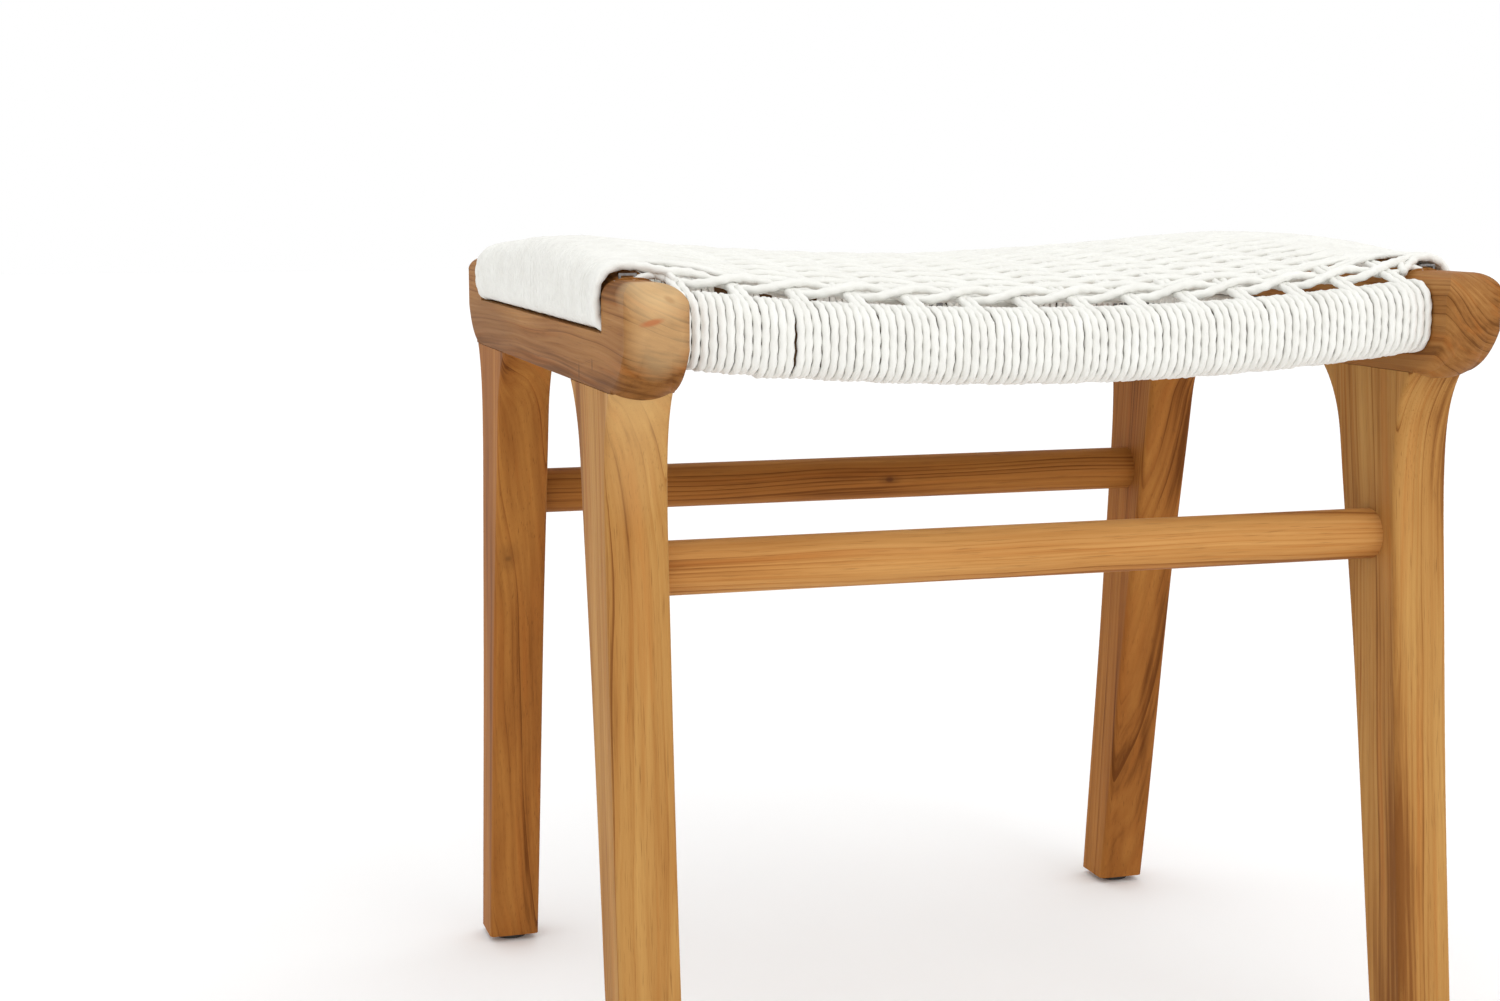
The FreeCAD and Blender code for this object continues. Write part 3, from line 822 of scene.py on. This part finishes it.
def dress_frame():
    """Gives every CAD node that stays its own finish."""
    steel, glide = steel_material(), glide_material()
    finishes = {
        # Front left leg: its mark is a patch of painted light on the top of its front.
        "front_left_leg": teak(
            "teak_front_left_leg", "Z", (0.29, 0.10), GOLD, LEG_LEAN, 0.3, FRONT_LEG_PAINTED_LIGHT),
        # Rear legs and, further down, the rear stretcher: a darker tone that is partly painted shade from
        # the seat above.
        "rear_left_leg": teak("teak_rear_left_leg", "Z", (0.27, -0.25), SHADED_RUST, -LEG_LEAN, 1.1, LEG_KNOT),
        "front_right_leg": teak("teak_front_right_leg", "Z", (-0.16, 0.24), GOLD, LEG_LEAN, 2.3),
        "rear_right_leg": teak("teak_rear_right_leg", "Z", (-0.19, -0.07), SHADED_RUST, -LEG_LEAN, 3.2),
        # End rails: their tone is darkened to paint the shade on their sides, and the left ear gets patches
        # of painted light on its front and top.
        "left_end_rail": teak("teak_left_end_rail", "Y", (0.205, 0.475), SHADED_BROWN, 0.0, 4.1, EAR_MARKS_AND_PAINTED_LIGHT),
        "right_end_rail": teak("teak_right_end_rail", "Y", (-0.245, 0.46), SHADED_BROWN, 0.0, 5.4),
        "front_stretcher": teak("teak_front_stretcher", "X", (-0.26, 0.16), AMBER, 0.0, 6.2),
        "rear_stretcher": teak("teak_rear_stretcher", "X", (-0.35, -0.13), SHADED_RUST, 0.0, 7.7, ROD_KNOT),
        # Seat rails: a dark tone that paints the shade seen between the wraps.
        "front_seat_rail": teak("teak_front_seat_rail", "X", (-0.37, 0.22), SHADED_UMBER, 0.0, 8.6),
        "rear_seat_rail": teak("teak_rear_seat_rail", "X", (-0.47, -0.14), SHADED_UMBER, 0.0, 9.5),
        "leg_dowels": teak("dowel_wood_upright", "Z", (0.02, 0.03), GOLD, 0.0, 10.4),
        "seat_rail_dowels": teak("dowel_wood_level", "X", (0.03, 0.02), GOLD, 0.0, 11.3),
        "front_rail_nails": steel,
        "rear_rail_nails": steel,
        "left_rail_nails": steel,
        "right_rail_nails": steel,
        "cord_staples": steel,
        "glide_nails": steel,
        "foot_glides": glide,
    }
    for name, material in finishes.items():
        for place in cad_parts[name].material_slots:
            place.material = material


def weave_across(white):
    """The side-to-side cords, as a front half and a rear half."""
    half = ROLL_CORDS // 2
    for name, first, last in (("front", 2, half), ("rear", half, ROLL_CORDS - 2)):
        crossing = [side_cord(c) for c in range(first, last)]
        piece = cord_piece(f"side_to_side_cords_{name}", crossing, white, SIDE_THICK, FLAT, ROLL_DRAWN)
        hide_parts("seat_weave", "left_rail_cords", "right_rail_cords")


def weave_along(white):
    """The front-to-back pairs."""
    pairs = [pair_cord(i, o) for i in range(PAIR_COUNT) for o in (-WRAP_PITCH / 2, WRAP_PITCH / 2)]
    piece = cord_piece("front_to_back_cords", pairs, white, WRAP_PITCH, FLAT)
    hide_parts("seat_weave")


def wind_rail(side, name, white):
    """The wraps round a seat rail, with a single one after the last pair."""
    groups = [(i * CORDS_PER_REPEAT + 2, WRAPS_BETWEEN) for i in range(PAIR_COUNT - 1)]
    groups.append(((PAIR_COUNT - 1) * CORDS_PER_REPEAT + 2, 1))
    wraps = [wrap_group(first, count, side) for first, count in groups]
    piece = cord_piece(f"{name}_rail_winding", wraps, white, WRAP_THICK)
    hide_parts(f"{name}_rail_wrap")


def twine_edge(side, name, white):
    """The two strands that hold the pairs along the edge of the seat."""
    edge = [edge_cord(side, 0), edge_cord(side, 1)]
    piece = cord_piece(f"{name}_edge_cords", edge, white, TWINE_THICK)
    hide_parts(f"{name}_edge_twine")


def weave_seat():
    """All the cord: the two ways of the weave, the wound rails, the twined edges and the ends."""
    white = cord_material()
    weave_across(white)
    weave_along(white)
    for side, name in ((-1, "front"), (1, "rear")):
        wind_rail(side, name, white)
        twine_edge(side, name, white)
    cord_piece("cord_tails", [start_tail(sx, sy) for sx in (-1, 1) for sy in (-1, 1)], white)


# ---------------------------------------------------------------- studio

CAMERA_AT = (-(LEG_X + 254.87), -1222.31, 493.52)
CAMERA_DOWN = 8.04           # degrees below level
CAMERA_ROUND = 16.62         # degrees to the right of straight ahead
CAMERA_LENS = 53.26
CAMERA_SENSOR = 36.0
FLOOR_HALF = 12.0            # in metres


def add_camera():
    """The close three-quarter view of the left end, from just above the seat."""
    data = bpy.data.cameras.new("camera")
    data.lens = CAMERA_LENS
    data.sensor_width = CAMERA_SENSOR
    camera = bpy.data.objects.new("camera", data)
    camera.location = [c * MM for c in CAMERA_AT]
    camera.rotation_euler = (math.radians(90 - CAMERA_DOWN), 0.0, math.radians(-CAMERA_ROUND))
    bpy.context.collection.objects.link(camera)
    bpy.context.scene.camera = camera


def add_floor():
    """A wide floor under the feet."""
    corners = [(-FLOOR_HALF, -FLOOR_HALF, 0), (FLOOR_HALF, -FLOOR_HALF, 0),
               (FLOOR_HALF, FLOOR_HALF, 0), (-FLOOR_HALF, FLOOR_HALF, 0)]
    mesh = bpy.data.meshes.new("studio_floor")
    mesh.from_pydata(corners, [], [(0, 1, 2, 3)])
    mesh.materials.append(floor_material())
    floor = bpy.data.objects.new("studio_floor", mesh)
    bpy.context.collection.objects.link(floor)


def add_lamp(name, place, aim, size, power):
    """A square soft lamp that points at aim. Places and size are in metres, power in watts."""
    data = bpy.data.lights.new(name, "AREA")
    data.size = size
    data.energy = power
    lamp = bpy.data.objects.new(name, data)
    lamp.location = place
    towards = np.array(aim) - np.array(place)
    flat = math.hypot(towards[0], towards[1])
    lamp.rotation_euler = (math.atan2(flat, -towards[2]), 0.0, math.atan2(-towards[0], towards[1]))
    bpy.context.collection.objects.link(lamp)


def add_room():
    """An even white room, brighter in front of the stool and above it, dimmer on its left."""
    world = bpy.data.worlds.new("studio_light")
    world.use_nodes = True
    room = Nodes(world.node_tree)
    toward = room.add("ShaderNodeTexCoord").outputs["Generated"]
    parts = room.add("ShaderNodeSeparateXYZ", Vector=toward).outputs
    left = room.between(parts["X"], -0.8, -0.1, 0.9, 1.0)
    front = room.between(parts["Y"], -0.9, 0.0, 1.12, 1.0)
    above = room.between(parts["Z"], 0.1, 1.0, 1.0, 1.2)
    background = world.node_tree.nodes["Background"]
    room.put(background.inputs["Color"], (1.0, 1.0, 1.0, 1.0))
    room.put(background.inputs["Strength"], room.math("MULTIPLY", room.math("MULTIPLY", left, front), above))
    bpy.context.scene.world = world


dress_frame()
weave_seat()
add_camera()
add_floor()
add_room()
add_lamp("key", place=(0.5, -1.7, 1.6), aim=(0.0, 0.0, 0.4), size=1.2, power=6.0)
bpy.context.scene.view_settings.view_transform = "Standard"
